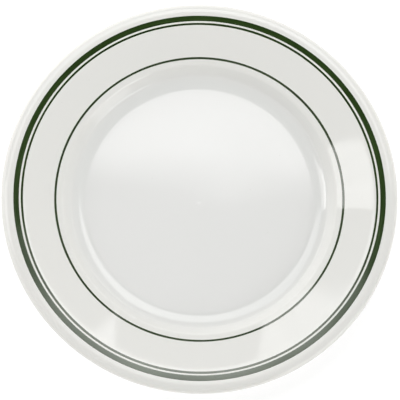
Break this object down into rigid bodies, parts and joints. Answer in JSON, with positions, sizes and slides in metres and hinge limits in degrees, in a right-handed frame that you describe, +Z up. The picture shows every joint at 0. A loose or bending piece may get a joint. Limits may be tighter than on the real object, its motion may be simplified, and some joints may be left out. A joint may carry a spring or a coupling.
{
  "type": "china dinner plate",
  "caption": "Round glazed china dinner plate with a flat well, a broad rising rim, a flatter lip, a rolled edge, a foot ring and dark green rings; holds a meal.",
  "frame": {"origin": "centre of the foot ring's bearing face, on the plate's axis", "axes": "+Z up along the plate's axis, out of the well; X and Y are alike because the plate is turned"},
  "size_m": [0.2667, 0.2668, 0.025],
  "materials": {
    "china_body": "fired china clay, bare and matte at the foot",
    "face_glaze": "clear gloss glaze over white china",
    "base_glaze": "clear gloss glaze over white china",
    "wide_green_band": "glossy dark green fired colour",
    "narrow_green_line": "glossy dark green fired colour",
    "verge_green_line": "glossy dark green fired colour"
  },
  "bodies": {
    "root": {"china_body": "china_body", "face_glaze": "face_glaze", "base_glaze": "base_glaze", "wide_green_band": "wide_green_band", "narrow_green_line": "narrow_green_line", "verge_green_line": "verge_green_line"}
  },
  "joints": []
}
